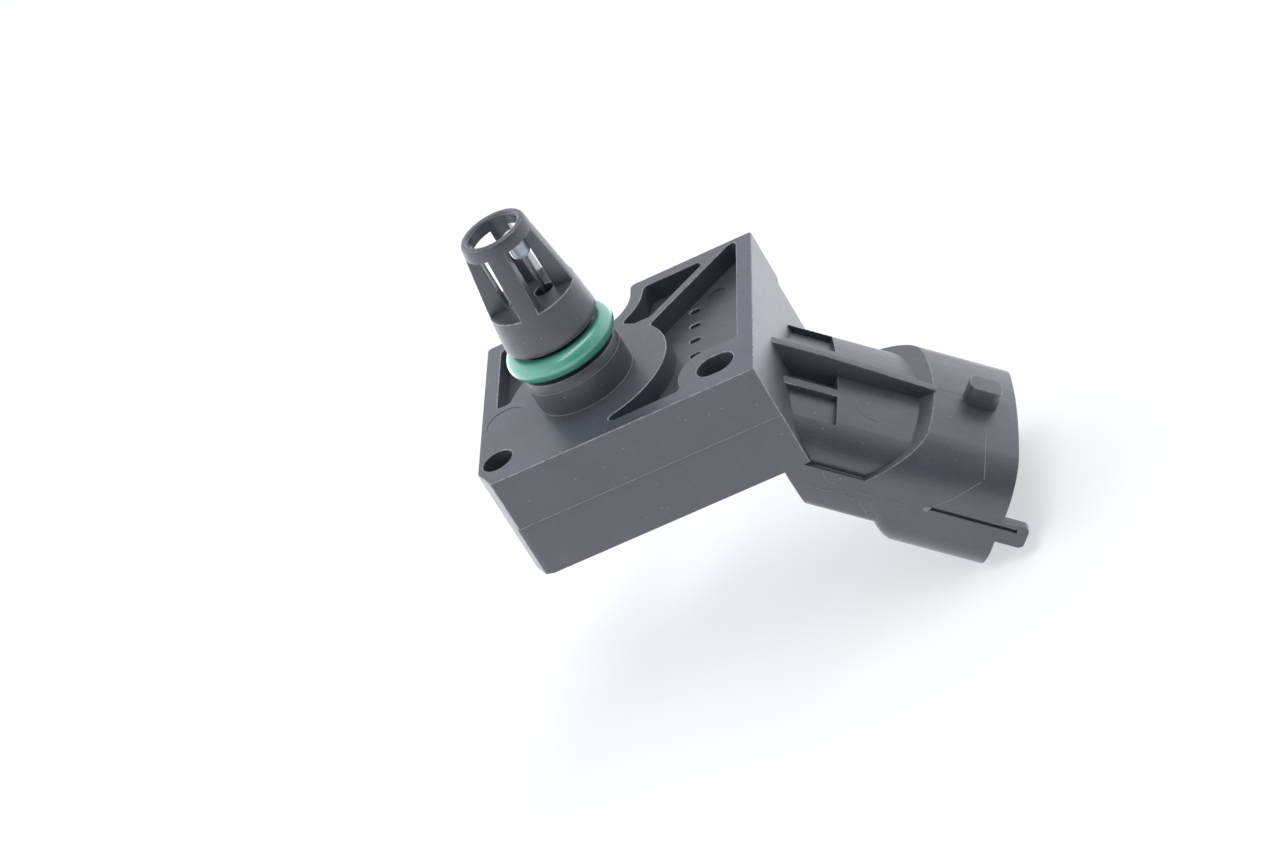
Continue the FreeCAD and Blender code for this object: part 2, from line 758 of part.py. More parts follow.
write("housing", housing.removeSplitter())
write("seal_ring", seal_ring)
write("rear_cover", cover)
write("cover_adhesive", adhesive)
for number, terminal in enumerate(terminals, 1):
    write("terminal_%d" % number, terminal)
write("sensor_header", header)
write("header_cap", cap)
write("pressure_tube", tube)
write("tube_seal", tube_seal)
write("glass_base", glass)
write("sensor_chip", chip)
write("protective_gel", gel)
for number, pin in enumerate(pins, 1):
    write("header_pin_%d" % number, pin)
for number, shape in enumerate(glass_beads, 1):
    write("pin_glass_%d" % number, shape)
write("thermistor_bead", bead)
write("thermistor_lead_1", wires[0])
write("thermistor_lead_2", wires[1])
write("lead_potting", potting)
for number, shape in enumerate(capacitors, 1):
    write("capacitor_%d" % number, shape)
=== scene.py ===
import math

import bmesh
import bpy
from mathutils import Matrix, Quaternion, Vector


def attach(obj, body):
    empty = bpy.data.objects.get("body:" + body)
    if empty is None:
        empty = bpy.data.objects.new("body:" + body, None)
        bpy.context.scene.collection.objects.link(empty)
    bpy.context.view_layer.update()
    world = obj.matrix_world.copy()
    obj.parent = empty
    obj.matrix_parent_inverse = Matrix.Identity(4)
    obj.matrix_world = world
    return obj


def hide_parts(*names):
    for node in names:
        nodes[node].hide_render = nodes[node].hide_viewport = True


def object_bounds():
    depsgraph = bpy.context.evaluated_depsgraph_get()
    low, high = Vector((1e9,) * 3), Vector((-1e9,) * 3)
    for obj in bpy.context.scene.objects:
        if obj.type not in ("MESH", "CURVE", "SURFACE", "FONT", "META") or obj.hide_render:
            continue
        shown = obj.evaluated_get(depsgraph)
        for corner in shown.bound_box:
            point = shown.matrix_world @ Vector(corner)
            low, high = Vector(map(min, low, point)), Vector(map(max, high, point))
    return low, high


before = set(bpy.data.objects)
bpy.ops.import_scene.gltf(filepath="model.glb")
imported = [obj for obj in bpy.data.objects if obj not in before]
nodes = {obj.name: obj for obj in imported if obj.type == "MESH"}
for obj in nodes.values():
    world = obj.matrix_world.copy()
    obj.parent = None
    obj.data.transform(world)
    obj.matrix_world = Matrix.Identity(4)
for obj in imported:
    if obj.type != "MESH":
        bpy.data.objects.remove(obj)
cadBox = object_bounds()
mm = 0.001
print("frame loaded:", len(nodes), "nodes")

cameraValues = {
    "place": (0.19321, -0.62711, 0.32909),
    "turn": (0.847577, 0.472861, 0.213457, -0.11159),
    "lens": 124.1,
    "sensor": 36.0,
    "clip": (0.01, 20.0),
}
floorValues = {
    "gap": 0.0004,
    "size": 6.0,
    "roughness": 0.85,
    "colour": (0.78, 0.79, 0.80),
    "shownColour": (0.47, 0.475, 0.48),  # with the glow, a softer shadow for the camera
    "glowColour": (0.98, 0.99, 1.0),
    "glow": 0.53,  # lifts the paper to the white that the camera sees
    "sheenGlow": 1.15,  # the same for gloss, in front of the part
    "sheenFar": 1.75,  # and behind it
    "farFrom": (0.0, 0.16),  # where the one passes into the other, along Y
    "rightDimming": 0.5,  # how much less gloss sees on the right
    "rightFrom": (0.08, 0.2),  # where that begins and is full, along X
}
lightValues = {
    "skySeen": 1.0,  # the white that the camera and glass see
    "skyColour": (0.93, 0.96, 1.05),
    "away": (-0.26, 0.85, 0.46),  # the far side of the table, which gloss sees white
    "awayFrom": (0.0, 0.7),
    "farSide": 0.6,
    "softness": 6.0,
    "panels": [  # heading in degrees from +X to +Y, height in degrees, strength
        (180, 50, 0.3), (0, 15, 1.0), (45, 15, 1.6), (90, 15, 1.04),
        (135, 15, 1.7), (180, 15, 1.45), (225, 15, 1.65),
    ],
    "lampPlace": (0.16, -0.12, 1.05),
    "lampTurn": -25.0,  # degrees round Z; the lamp shines straight down
    "lampWidth": 0.26,
    "lampDepth": 1.3,
    "lampWatts": 6.6,
}


class Wire:  # an output of a node, so that sums on it read as sums
    def __init__(self, maker, socket):
        self.maker = maker
        self.socket = socket

    def calc(self, operation, *others):
        values = dict(enumerate((self, *others)))
        return self.maker.node("ShaderNodeMath", {"operation": operation}, values)

    def turned(self, operation, other):  # with the other value first
        values = {0: other, 1: self}
        return self.maker.node("ShaderNodeMath", {"operation": operation}, values)

    def __add__(self, other):
        return self.calc("ADD", other)

    def __radd__(self, other):
        return self.turned("ADD", other)

    def __sub__(self, other):
        return self.calc("SUBTRACT", other)

    def __rsub__(self, other):
        return self.turned("SUBTRACT", other)

    def __mul__(self, other):
        return self.calc("MULTIPLY", other)

    def __rmul__(self, other):
        return self.turned("MULTIPLY", other)

    def __truediv__(self, other):
        return self.calc("DIVIDE", other)

    def __rtruediv__(self, other):
        return self.turned("DIVIDE", other)

    def __pow__(self, other):
        return self.calc("POWER", other)

    def __rpow__(self, other):
        return self.turned("POWER", other)

    def __lt__(self, other):
        return self.calc("LESS_THAN", other)

    def __gt__(self, other):  # what 0.5 < mask asks for
        return self.turned("LESS_THAN", other)

    def within(self, low, high):  # 0 below low, 1 above high, a smooth step between
        settings = {"interpolation_type": "SMOOTHSTEP"}
        return self.maker.node("ShaderNodeMapRange", settings, {0: self, 1: low, 2: high})


class Maker:  # a node tree, and the one method that its nodes come from
    def __init__(self, tree):
        self.tree = tree

    def node(self, kind, settings=None, values=None, output=0):
        made = self.tree.nodes.new(kind)
        for key, value in (settings or {}).items():
            setattr(made, key, value)
        for key, value in (values or {}).items():
            self.join(value, made.inputs[key])
        return Wire(self, made.outputs[output]) if len(made.outputs) else None

    def join(self, value, slot):
        if isinstance(value, Wire):
            self.tree.links.new(value.socket, slot)
        elif slot.type == "RGBA":
            slot.default_value = (*value, 1.0)
        else:
            slot.default_value = value


class Finish(Maker):  # one material and the patterns that it is made of
    def __init__(self, name, **sockets):
        self.material = bpy.data.materials.new(name)
        self.material.use_nodes = True
        super().__init__(self.material.node_tree)
        self.shader = self.tree.nodes["Principled BSDF"]
        self.place = self.node("ShaderNodeTexCoord", output="Object")
        self.set(**sockets)

    def set(self, **sockets):
        for key, value in sockets.items():
            self.join(value, self.shader.inputs[key.replace("_", " ")])

    def along(self, axis):
        return self.node("ShaderNodeSeparateXYZ", {}, {0: self.place}, axis)

    def stretched(self, scale, turn=(0.0, 0.0, 0.0)):
        values = {"Vector": self.place, "Scale": scale, "Rotation": turn}
        return self.node("ShaderNodeMapping", {}, values)

    def noise(self, scale, detail, rough=0.5, place=None):
        place = place or self.place
        values = {"Vector": place, "Scale": scale, "Detail": detail, "Roughness": rough}
        return self.node("ShaderNodeTexNoise", {}, values, "Fac")

    def specks(self, scale, size, share):  # 1 inside small scattered dots
        values = {"Vector": self.place, "Scale": scale}
        near = self.node("ShaderNodeTexVoronoi", {}, values, "Distance")
        pick = self.node("ShaderNodeTexVoronoi", {}, values, "Color")
        chance = self.node("ShaderNodeSeparateColor", {}, {0: pick}, 0)
        return (near < size) * (chance < share)

    def blend(self, amount, first, second):
        values = {0: amount, 6: first, 7: second}
        return self.node("ShaderNodeMix", {"data_type": "RGBA"}, values, 2)

    def bump(self, height, depth, strength):
        values = {"Height": height, "Distance": depth, "Strength": strength}
        return self.node("ShaderNodeBump", {}, values)


def addObject(name, data):
    made = bpy.data.objects.new(name, data)
    bpy.context.collection.objects.link(made)
    return made


def setCamera(values):
    camera = addObject("camera", bpy.data.cameras.new("camera"))
    camera.rotation_mode = "QUATERNION"
    camera.location = values["place"]
    camera.rotation_quaternion = Quaternion(values["turn"])
    camera.data.sensor_width = values["sensor"]
    camera.data.lens = values["lens"]
    camera.data.clip_start, camera.data.clip_end = values["clip"]
    bpy.context.scene.camera = camera


def setSky(values):
    world = bpy.data.worlds.new("studio")
    world.use_nodes = True
    bpy.context.scene.world = world
    sky = Maker(world.node_tree)
    way = sky.node("ShaderNodeTexCoord", output="Generated")

    def facing(direction):
        sockets = {0: way, 1: direction}
        return sky.node("ShaderNodeVectorMath", {"operation": "DOT_PRODUCT"}, sockets, "Value")

    def ray(kind):
        return sky.node("ShaderNodeLightPath", output=kind)

    strength = 0.0
    for heading, height, level in values["panels"]:
        turn, up = math.radians(heading), math.radians(height)
        direction = (math.cos(turn) * math.cos(up), math.sin(turn) * math.cos(up), math.sin(up))
        panel = facing(direction).calc("MAXIMUM", 0.0) ** values["softness"] * level
        strength = panel + strength
    far = ray("Is Glossy Ray") * facing(values["away"]).within(*values["awayFrom"])
    strength = strength.calc("MAXIMUM", far * values["farSide"])
    seen = ray("Is Camera Ray").calc("MAXIMUM", ray("Is Transmission Ray"))
    strength = strength * (1 - seen) + seen * values["skySeen"]
    background = world.node_tree.nodes["Background"]
    sky.join(values["skyColour"], background.inputs["Color"])
    sky.join(strength, background.inputs["Strength"])


def addLamp(values):
    lamp = bpy.data.lights.new("overhead", "AREA")
    lamp.shape = "RECTANGLE"
    lamp.size = values["lampWidth"]
    lamp.size_y = values["lampDepth"]
    lamp.energy = values["lampWatts"]
    overhead = addObject("overhead", lamp)
    overhead.location = values["lampPlace"]
    overhead.rotation_euler.z = math.radians(values["lampTurn"])


def addFloor(values, lowest):
    half = values["size"] / 2
    level = lowest - values["gap"]
    around = [(-half, -half), (half, -half), (half, half), (-half, half)]
    sheet = bpy.data.meshes.new("floor")
    sheet.from_pydata([(x, y, level) for x, y in around], [], [(0, 1, 2, 3)])
    floor = addObject("floor", sheet)
    paper = Finish("paper", Roughness=values["roughness"], Emission_Color=values["glowColour"])
    shown = paper.node("ShaderNodeLightPath", output="Is Camera Ray")
    shiny = paper.node("ShaderNodeLightPath", output="Is Glossy Ray")
    far = paper.along("Y").within(*values["farFrom"])
    right = paper.along("X").within(*values["rightFrom"])
    sheen = far * (values["sheenFar"] - values["sheenGlow"]) + values["sheenGlow"]
    sheen = sheen * (1 - right * values["rightDimming"])
    paper.set(Base_Color=paper.blend(shown, values["colour"], values["shownColour"]))
    paper.set(Emission_Strength=shown * values["glow"] + shiny * sheen)
    sheet.materials.append(paper.material)


setCamera(cameraValues)
setSky(lightValues)
addLamp(lightValues)
addFloor(floorValues, cadBox[0].z)
bpy.context.scene.view_settings.view_transform = "Standard"
print("camera, light and floor set")

# a noise is given by its scale per metre, detail and roughness,
# specks by their scale per metre, size and share, and a bump by its depth and strength
plasticValues = {
    "dark": (0.047, 0.050, 0.061),
    "light": (0.076, 0.0805, 0.098),
    "clouds": (55.0, 3.0, 0.55),
    "flow": (1.0, 3.0, 0.6),
    "flowStretch": (60.0, 420.0, 90.0),
    "flowTurn": (0.0, 0.0, 0.35),
    "grain": (3600.0, 2.0, 0.6),
    "coarseGrain": (1188.0, 1.0, 0.5),
    "toneShares": (0.5, 0.25, 0.25),  # of the clouds, the flow and the grain
    "toneFrom": (0.3, 0.72),
    "scuffs": (1.0, 4.0, 0.7),
    "scuffStretch": (190.0, 190.0, 2300.0),
    "scuffTurn": (0.15, 0.1, 0.0),
    "scuffFrom": (0.56, 0.74),
    "scuffed": 0.05,
    # painted glints: light specks in the colour, for the glints of the spark-eroded grain
    "grainGlints": (4600.0, 0.3, 0.3),
    "grainGlintShare": 0.14,
    "dustColour": (0.5, 0.5, 0.5),
    "dust": (460.0, 0.06, 0.16),
    "dustPatches": (30.0, 1.0),
    "dustFrom": (0.42, 0.6),
    "dusted": 0.75,
    "fluff": (1300.0, 0.13, 0.035),
    "fluffed": 0.6,
    # the lighter grey of scuffs and rubbed edges, and of the painted edge highlight and painted
    # glints
    "wearAndHighlightColour": (0.33, 0.34, 0.36),
    "rub": (900.0, 3.0, 0.6),
    "rubFrom": (0.38, 0.62),
    "rubbed": 0.5,  # in patches along an edge
    "edgeHighlight": 0.42,  # a painted highlight all along it
    "cageFrom": (0.0192, 0.0205),  # height at which the cage begins
    "cageSpared": 0.7,  # how much less its edges are lightened, by rubbing and by the painted highlight, than the block's
    "plugFrom": (0.0316, 0.033),  # along X, the same for the plug
    "plugSpared": 0.55,
    "roughness": 0.38,
    "roughnessRanges": (0.16, 0.1, 0.06),  # over the grain, the clouds and the scuffs
    "ior": 1.5,
    "specular": 0.62,
    "fineShare": 0.6,  # of the fine grain in the bump; the rest is the coarse grain
    "bump": (0.00006, 0.9),
}


def mouldedPlastic(name, values, edges=False):
    made = Finish(name)
    clouds = made.noise(*values["clouds"])
    flow = made.noise(*values["flow"], made.stretched(values["flowStretch"], values["flowTurn"]))
    grain = made.noise(*values["grain"])
    coarse = made.noise(*values["coarseGrain"])
    scuffPlace = made.stretched(values["scuffStretch"], values["scuffTurn"])
    scuffs = made.noise(*values["scuffs"], scuffPlace).within(*values["scuffFrom"])
    cloudy, flowing, grainy = values["toneShares"]
    tone = (clouds * cloudy + flow * flowing + grain * grainy).within(*values["toneFrom"])
    colour = made.blend(tone, values["dark"], values["light"])
    colour = made.blend(scuffs * values["scuffed"], colour, values["wearAndHighlightColour"])
    # light specks painted in as the glints of the grain
    grainGlints = made.specks(*values["grainGlints"]) * values["grainGlintShare"]
    colour = made.blend(grainGlints, colour, values["wearAndHighlightColour"])
    patches = made.noise(*values["dustPatches"]).within(*values["dustFrom"])
    dust = made.specks(*values["dust"]) * patches
    dust = dust.calc("MAXIMUM", made.specks(*values["fluff"]) * values["fluffed"])
    colour = made.blend(dust * values["dusted"], colour, values["dustColour"])
    if edges:
        # edges: wear in patches and a painted highlight all along
        colour = made.blend(edgeRubAndHighlight(made, values), colour, values["wearAndHighlightColour"])
    overGrain, overClouds, overScuffs = values["roughnessRanges"]
    rough = grain * overGrain + clouds * overClouds + scuffs * overScuffs
    rough = rough + (values["roughness"] - (overGrain + overClouds) / 2)
    height = grain * values["fineShare"] + coarse * (1 - values["fineShare"])
    made.set(Base_Color=colour, Roughness=rough, Normal=made.bump(height, *values["bump"]))
    made.set(IOR=values["ior"], Specular_IOR_Level=values["specular"])
    return made.material


# lighter bevelled edges: rubbed patches, which are wear, and an even painted highlight all along
# each edge
def edgeRubAndHighlight(made, values):
    rim = made.node("ShaderNodeAttribute", {"attribute_name": "bevelledEdgeMark"}, output="Fac")
    cage = made.along("Z").within(*values["cageFrom"])
    plug = made.along("X").within(*values["plugFrom"])
    rim = rim * (1 - cage * values["cageSpared"]) * (1 - plug * values["plugSpared"])
    rub = rim * made.noise(*values["rub"]).within(*values["rubFrom"])
    return rub * values["rubbed"] + rim * values["edgeHighlight"]


rubberValues = {
    "deep": (0.068, 0.35, 0.25),
    "pale": (0.088, 0.39, 0.29),
    "clouds": (160.0, 3.0, 0.6),
    "cloudsFrom": (0.3, 0.7),
    "fine": (5200.0, 1.0),
    "lintColour": (0.5, 0.62, 0.58),
    "lint": (900.0, 0.13, 0.04),
    "linted": 0.5,
    "ior": 1.52,
    "coat": 1.0,  # the smooth skin of the moulded rubber
    "coatRoughness": 0.26,
    "roughness": 0.27,
    "roughnessRange": 0.1,
    "bump": (0.000004, 0.6),
}


def smoothRubber(name, values):
    made = Finish(name, IOR=values["ior"])
    made.set(Coat_Weight=values["coat"], Coat_Roughness=values["coatRoughness"])
    clouds = made.noise(*values["clouds"]).within(*values["cloudsFrom"])
    fine = made.noise(*values["fine"])
    lint = made.specks(*values["lint"]) * values["linted"]
    colour = made.blend(clouds, values["deep"], values["pale"])
    made.set(Base_Color=made.blend(lint, colour, values["lintColour"]))
    made.set(Roughness=fine * values["roughnessRange"] + values["roughness"])
    made.set(Normal=made.bump(fine, *values["bump"]))
    return made.material


metalValues = {
    "marks": (900.0, 3.0, 0.6),
    "marksAlong": (1.0, 1.0, 5.0),
    "stain": (260.0, 2.0),
    "stainFrom": (0.35, 0.7),
    "roughnessRange": 0.22,
    "bump": (0.000004, 0.5),
}
tinValues = dict(
    metalValues, pale=(0.72, 0.71, 0.68), dull=(0.52, 0.51, 0.49), roughness=0.34,
    marksAlong=(6.0, 0.4, 1.0),
)
nickelValues = dict(
    metalValues, pale=(0.68, 0.65, 0.58), dull=(0.5, 0.47, 0.42), roughness=0.24,
)
goldValues = dict(
    metalValues, pale=(0.86, 0.7, 0.36), dull=(0.7, 0.52, 0.24), roughness=0.2,
    marksAlong=(1.0, 1.0, 6.0),
)
wireValues = dict(
    metalValues, pale=(0.2, 0.2, 0.21), dull=(0.11, 0.11, 0.12), roughness=0.42,
)


def metal(name, values):
    made = Finish(name, Metallic=1.0)
    marks = made.noise(*values["marks"], made.stretched(values["marksAlong"]))
    stain = made.noise(*values["stain"]).within(*values["stainFrom"])
    rough = values["roughness"] - values["roughnessRange"] / 2
    made.set(Base_Color=made.blend(stain, values["pale"], values["dull"]))
    made.set(Roughness=marks * values["roughnessRange"] + rough)
    made.set(Normal=made.bump(marks, *values["bump"]))
    return made.material


glassValues = {
    "ior": 1.5,
    "through": 0.0,
    "coat": 0.0,
    "clouds": (700.0, 3.0, 0.6),
    "cloudsFrom": (0.3, 0.7),
    "fine": (2600.0, 1.0),
    "roughnessRange": 0.08,
    "bump": (0.00001, 0.4),
}
baseValues = dict(
    glassValues, clear=(0.8, 0.87, 0.84), tinted=(0.7, 0.8, 0.78), roughness=0.28, through=0.6,
)
fusedValues = dict(
    glassValues, clear=(0.1, 0.17, 0.14), tinted=(0.16, 0.26, 0.2), roughness=0.14,
)
siliconValues = dict(
    glassValues, clear=(0.2, 0.2, 0.25), tinted=(0.28, 0.27, 0.33), roughness=0.1,
)
gelValues = dict(
    glassValues, clear=(0.8, 0.82, 0.82), tinted=(0.72, 0.75, 0.76), roughness=0.12, through=0.7,
)
beadValues = dict(
    glassValues, clear=(0.50, 0.57, 0.68), tinted=(0.70, 0.76, 0.84), roughness=0.12, coat=0.6,
)


def glassy(name, values):
    made = Finish(name, IOR=values["ior"])
    made.set(Transmission_Weight=values["through"], Coat_Weight=values["coat"])
    clouds = made.noise(*values["clouds"])
    fine = made.noise(*values["fine"])
    tint = clouds.within(*values["cloudsFrom"])
    made.set(Base_Color=made.blend(tint, values["clear"], values["tinted"]))
    made.set(Roughness=fine * values["roughnessRange"] + values["roughness"])
    made.set(Normal=made.bump(clouds, *values["bump"]))
    return made.material


sealantValues = {
    "dark": (0.05, 0.05, 0.055),
    "pale": (0.09, 0.09, 0.095),
    "ior": 1.45,
    "lumps": (650.0, 3.0, 0.6),
    "lumpsFrom": (0.3, 0.7),
    "roughness": 0.5,
    "roughnessRange": 0.2,
    "bump": (0.00004, 0.6),
}
ceramicValues = dict(
    sealantValues, dark=(0.36, 0.25, 0.16), pale=(0.46, 0.34, 0.23), roughness=0.46,
)


def sealant(name, values):
    made = Finish(name, IOR=values["ior"])
    lumps = made.noise(*values["lumps"])
    tint = lumps.within(*values["lumpsFrom"])
    rough = values["roughness"] - values["roughnessRange"] / 2
    made.set(Base_Color=made.blend(tint, values["dark"], values["pale"]))
    made.set(Roughness=lumps * values["roughnessRange"] + rough)
    made.set(Normal=made.bump(lumps, *values["bump"]))
    return made.material


# light grey for the flash ridges, edge lines and gate mark: the ridges are real, their light grey
# is a painted highlight
flashHighlightPlastic = dict(plasticValues, dark=(0.13, 0.135, 0.145), light=(0.24, 0.245, 0.255))
black = mouldedPlastic("black glass-filled plastic", plasticValues, edges=True)
coverBlack = mouldedPlastic("black cover plastic", plasticValues)
flashHighlightGrey = mouldedPlastic("rubbed flash line", flashHighlightPlastic)
greenRubber = smoothRubber("green seal rubber", rubberValues)
tin = metal("matt tin", tinValues)
nickel = metal("nickel plate", nickelValues)
gold = metal("thin gold", goldValues)
dullWire = metal("dull wire", wireValues)
baseGlass = glassy("ground glass", baseValues)
sealGlass = glassy("fused glass", fusedValues)
siliconFace = glassy("polished silicon", siliconValues)
clearGel = glassy("soft gel", gelValues)
beadCoat = glassy("bead coating", beadValues)
adhesive = sealant("cured sealant", sealantValues)
ceramic = sealant("capacitor ceramic", ceramicValues)
print("finishes made")

finishOf = {
    "housing": black, "rear_cover": coverBlack, "seal_ring": greenRubber,
    "cover_adhesive": adhesive, "tube_seal": adhesive, "lead_potting": adhesive,
    "sensor_header": nickel, "header_cap": nickel, "pressure_tube": nickel,
    "glass_base": baseGlass, "sensor_chip": siliconFace, "protective_gel": clearGel,
    "thermistor_bead": beadCoat,
}
finishByKind = {
    "terminal": tin, "header_pin": gold, "pin_glass": sealGlass,
    "thermistor_lead": dullWire, "capacitor": ceramic,
}

for name, node in nodes.items():
    kind = name.rsplit("_", 1)[0]
    finish = finishOf.get(name) or finishByKind[kind]
    if node.material_slots:
        for slot in node.material_slots:
            slot.material = finish
    else:
        node.data.materials.append(finish)
print("CAD nodes finished")

# the moulding, with its edges broken
housingValues = {
    "edgeRound": 0.16 * mm,
    "edgeSteps": 2,
    "sharpFrom": 30.0,  # degrees; an edge with less is left as it is
    "room": 2.3,  # and one whose neighbours aren't this many times longer than the round
    "sameWay": 0.9,  # cosine from which a neighbour only runs on from the edge
    "blendBelow": 30.0,  # degrees between faces that are shaded as one
    "roundedBlend": 0.3,  # the same for two faces of a rounded edge, as a cosine
    "mergeWithin": 0.0001 * mm,
    "flatWithin": 0.4,  # degrees
}


def mergedCopy(values):
    shape = bmesh.new()
    shape.from_mesh(nodes["housing"].data)
    bmesh.ops.remove_doubles(shape, verts=shape.verts, dist=values["mergeWithin"])
    bmesh.ops.dissolve_limit(
        shape, angle_limit=math.radians(values["flatWithin"]),
        verts=shape.verts, edges=shape.edges, use_dissolve_boundaries=False,
    )
    shape.normal_update()
    return shape


def hasRoom(edge, need, sameWay):
    along = (edge.verts[1].co - edge.verts[0].co).normalized()
    for corner in edge.verts:
        for other in corner.link_edges:
            if other is edge:
                continue
            way = other.verts[1].co - other.verts[0].co
            if abs(way.normalized().dot(along)) > sameWay:
                continue
            if way.length < need:
                return False
    return True


def breadth(face):  # how wide a face is across its longest way
    corners = [corner.co for corner in face.verts]
    longest = max((a - b).length for a in corners for b in corners)
    return face.calc_area() / longest if longest else 0.0


def softNormals(shape, rounded, values):
    # a corner's normal leans to the widest of the faces that it blends with, so flats stay flat
    width = [breadth(face) for face in shape.faces]
    limit = math.cos(math.radians(values["blendBelow"]))
    normals = []
    for face in shape.faces:
        own = face.normal
        for corner in face.loops:
            total = Vector()
            for other in corner.vert.link_faces:
                near = values["roundedBlend"] if face[rounded] and other[rounded] else limit
                if own.dot(other.normal) > near:
                    total += other.normal * width[other.index]
            normals.append(total.normalized() if total.length > 0 else own.copy())
    return normals


def addHousing(values):
    shape = mergedCopy(values)
    sharp = math.radians(values["sharpFrom"])
    need = values["edgeRound"] * values["room"]
    chosen = []
    for edge in shape.edges:
        if len(edge.link_faces) == 2 and edge.calc_face_angle_signed(0.0) > sharp:
            if hasRoom(edge, need, values["sameWay"]):
                chosen.append(edge)
    # marks the bevelled faces, which the plastic lightens with rub wear and a painted edge
    # highlight, and which shade as rounds
    bevelledFaces = shape.faces.layers.float.new("bevelledEdgeMark")
    done = bmesh.ops.bevel(
        shape, geom=chosen, offset=values["edgeRound"], offset_type="OFFSET",
        segments=values["edgeSteps"], profile=0.5, affect="EDGES",
        clamp_overlap=False, loop_slide=False,
    )
    for face in done["faces"]:
        face[bevelledFaces] = 1.0
    shape.normal_update()
    shape.faces.index_update()
    normals = softNormals(shape, bevelledFaces, values)
    mesh = bpy.data.meshes.new("housingShell")
    shape.to_mesh(mesh)
    shape.free()
    mesh.shade_smooth()
    mesh.normals_split_custom_set(normals)
    mesh.materials.append(black)
    shell = addObject("housingShell", mesh)
    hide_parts("housing")
    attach(shell, "root")


addHousing(housingValues)
print("housing made")


class Shaping(Maker):  # a Geometry Nodes tree with named inputs
    def __init__(self, name, **inputs):
        super().__init__(bpy.data.node_groups.new(name, "GeometryNodeTree"))
        sockets = self.tree.interface
        sockets.new_socket("Geometry", in_out="INPUT", socket_type="NodeSocketGeometry")
        sockets.new_socket("Geometry", in_out="OUTPUT", socket_type="NodeSocketGeometry")
        for key, value in inputs.items():
            kind = "NodeSocketInt" if isinstance(value, int) else "NodeSocketFloat"
            sockets.new_socket(key, in_out="INPUT", socket_type=kind).default_value = value
        self.inputs = inputs

    def take(self, name):
        return self.node("NodeGroupInput", output=name)

    def circle(self, sides, radius):
        values = {"Resolution": self.take(sides), "Radius": self.take(radius)}
        return self.node("GeometryNodeCurvePrimitiveCircle", {}, values)

    def close(self, shape, material):
        shape = self.node("GeometryNodeSetShadeSmooth", {}, {"Geometry": shape})
        shape = self.node("GeometryNodeRealizeInstances", {}, {"Geometry": shape})
        values = {"Geometry": shape, "Material": material}
        shape = self.node("GeometryNodeSetMaterial", {}, values)
        self.node("NodeGroupOutput", {}, {0: shape})

    def bake(self, name, start, material):
        carrier = addObject(name + "Start", start)
        shaper = carrier.modifiers.new(name, "NODES")
        shaper.node_group = self.tree
        for item in self.tree.interface.items_tree:
            if item.item_type == "SOCKET" and item.in_out == "INPUT" and item.name in self.inputs:
                shaper[item.identifier] = self.inputs[item.name]
        shaped = carrier.evaluated_get(bpy.context.evaluated_depsgraph_get())
        result = bpy.data.meshes.new_from_object(shaped)
        carrier.modifiers.remove(shaper)
        bpy.data.objects.remove(carrier)
        result.name = name
        if not result.materials:
            result.materials.append(material)
        return addObject(name, result)


sealValues = {
    "ringRadius": 7.9 * mm,
    "sectionRadius": 1.95 * mm,
    "height": 9.0 * mm,
    "flashHeight": 0.008 * mm,
    "flashSharpness": 500.0,
    "around": 256,
    "across": 72,
}


def addSealRing(values):
    made = Shaping("seal ring", **values)
    path = made.circle("around", "ringRadius")
    section = made.circle("across", "sectionRadius")
    place = made.node("GeometryNodeInputPosition")
    side = made.node("ShaderNodeSeparateXYZ", {}, {0: place}, "X") / made.take("sectionRadius")
    peak = side.calc("ABSOLUTE").calc("MINIMUM", 1.0) ** made.take("flashSharpness")
    grow = peak * made.take("flashHeight") / made.take("sectionRadius") + 1.0
    moved = made.node("ShaderNodeVectorMath", {"operation": "SCALE"}, {0: place, "Scale": grow})
    section = made.node("GeometryNodeSetPosition", {}, {"Geometry": section, "Position": moved})
    ring = made.node("GeometryNodeCurveToMesh", {}, {"Curve": path, "Profile Curve": section})
    lift = made.node("ShaderNodeCombineXYZ", {}, {2: made.take("height")})
    ring = made.node("GeometryNodeTransform", {}, {"Geometry": ring, "Translation": lift})
    made.close(ring, greenRubber)
    seal = made.bake("sealRing", bpy.data.meshes.new("sealRingStart"), greenRubber)
    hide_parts("seal_ring")
    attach(seal, "root")


addSealRing(sealValues)
print("seal ring made")

# thin ridges on flash lines and along edges, such as the collar's top and base; their light grey is
# a painted highlight
flashValues = {
    "halfWidth": 0.075 * mm,
    "spacing": 0.35 * mm,
    "sides": 8,
    "rings": [(0.05, 8.82), (4.6, 8.8), (6.28, 8.47)],  # height and radius in mm, round the port
    "ringSteps": 180,
    "lines": [  # each runs over the near side of the housing, in mm
        [
            (31.99, -18.62, -22.9), (31.7, -18.62, -24.9), (32.7, -18.62, -26.3),
            (35.6, -18.62, -29.6), (38.5, -18.62, -32.9), (41.0, -18.62, -35.2),
            (42.8, -18.62, -37.0),
        ],
        [(44.6, -18.62, -37.5), (48.0, -18.59, -37.8), (50.8, -18.2, -37.7), (53.7, -17.2, -37.8)],
        [(54.2, -17.0, -37.8), (55.2, -15.2, -36.3), (55.9, -12.7, -35.2), (56.5, -8.9, -34.8)],
        [
            (27.6, -18.6, -23.7), (31.3, -18.6, -27.1), (34.7, -18.6, -30.7),
            (34.6, -18.3, -33.0), (34.5, -17.8, -35.5),
        ],
        [(31.5, -17.8, -22.3), (34.2, -17.9, -25.0), (36.9, -17.9, -27.7)],
        [(39.8, -6.2, -20.4), (39.9, -8.2, -20.8), (40.5, -9.5, -21.8), (42.1, -10.3, -23.6)],
    ],
}


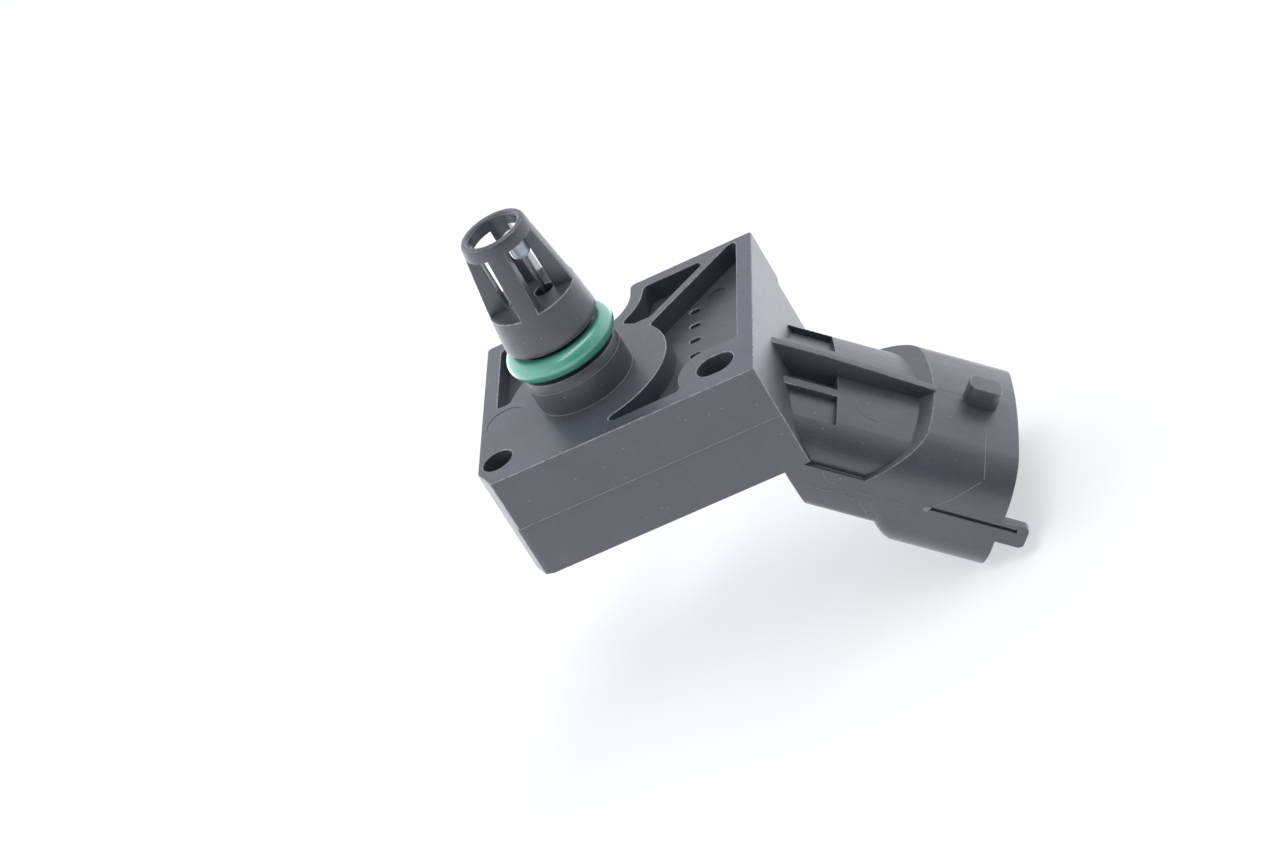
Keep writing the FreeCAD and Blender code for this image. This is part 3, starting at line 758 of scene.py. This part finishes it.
def flashPaths(values):
    points, links = [], []

    def addPath(path, closed):
        first = len(points)
        points.extend(tuple(c * mm for c in point) for point in path)
        links.extend((first + i, first + i + 1) for i in range(len(path) - 1))
        if closed:
            links.append((len(points) - 1, first))

    steps = values["ringSteps"]
    for height, radius in values["rings"]:
        turns = [math.tau * i / steps for i in range(steps)]
        addPath([(radius * math.cos(t), radius * math.sin(t), height) for t in turns], True)
    for line in values["lines"]:
        addPath(line, False)
    start = bpy.data.meshes.new("flashPaths")
    start.from_pydata(points, links, [])
    return start


def addFlashLines(values):
    sizes = {key: values[key] for key in ("halfWidth", "spacing", "sides")}
    made = Shaping("flash lines", **sizes)
    path = made.node("GeometryNodeMeshToCurve", {}, {"Mesh": made.take("Geometry")})
    sockets = {"Curve": path, "Length": made.take("spacing")}
    path = made.node("GeometryNodeResampleCurve", {"mode": "LENGTH"}, sockets)
    carrier = made.node("GeometryNodeObjectInfo", {}, {"Object": nodes["housing"]}, "Geometry")
    settings = {"target_element": "FACES"}
    nearest = made.node("GeometryNodeProximity", settings, {0: carrier}, "Position")
    path = made.node("GeometryNodeSetPosition", {}, {"Geometry": path, "Position": nearest})
    sockets = {"Curve": path, "Profile Curve": made.circle("sides", "halfWidth"), "Fill Caps": True}
    made.close(made.node("GeometryNodeCurveToMesh", {}, sockets), flashHighlightGrey)
    flash = made.bake("flashLines", flashPaths(values), flashHighlightGrey)
    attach(flash, "root")


addFlashLines(flashValues)
print("flash lines made")

# the gate mark, raised from the face; its light grey is a painted highlight
gateValues = {
    "corners": [(43.0, -37.15), (44.1, -37.05), (44.75, -37.75), (43.5, -38.25)],  # X and Z in mm
    "face": -18.62,
    "sunk": 0.05,
    "rise": 0.05,
    "inset": 0.12,
}


def addGateMark(values):
    shape = bmesh.new()
    corners = [Vector((x, values["face"] + values["sunk"], z)) for x, z in values["corners"]]
    middle = sum(corners, Vector()) / len(corners)
    low = [shape.verts.new(corner * mm) for corner in corners]
    top = []
    for corner in corners:
        drawn = corner + (middle - corner).normalized() * values["inset"]
        drawn.y = values["face"] - values["rise"]
        top.append(shape.verts.new(drawn * mm))
    shape.faces.new(low)
    shape.faces.new(top)
    for i in range(len(corners)):
        j = (i + 1) % len(corners)
        shape.faces.new((low[i], low[j], top[j], top[i]))
    bmesh.ops.recalc_face_normals(shape, faces=shape.faces)
    mesh = bpy.data.meshes.new("gateMark")
    shape.to_mesh(mesh)
    shape.free()
    mesh.materials.append(flashHighlightGrey)
    mark = addObject("gateMark", mesh)
    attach(mark, "root")


addGateMark(gateValues)
print("gate mark made")

print("pieces done")
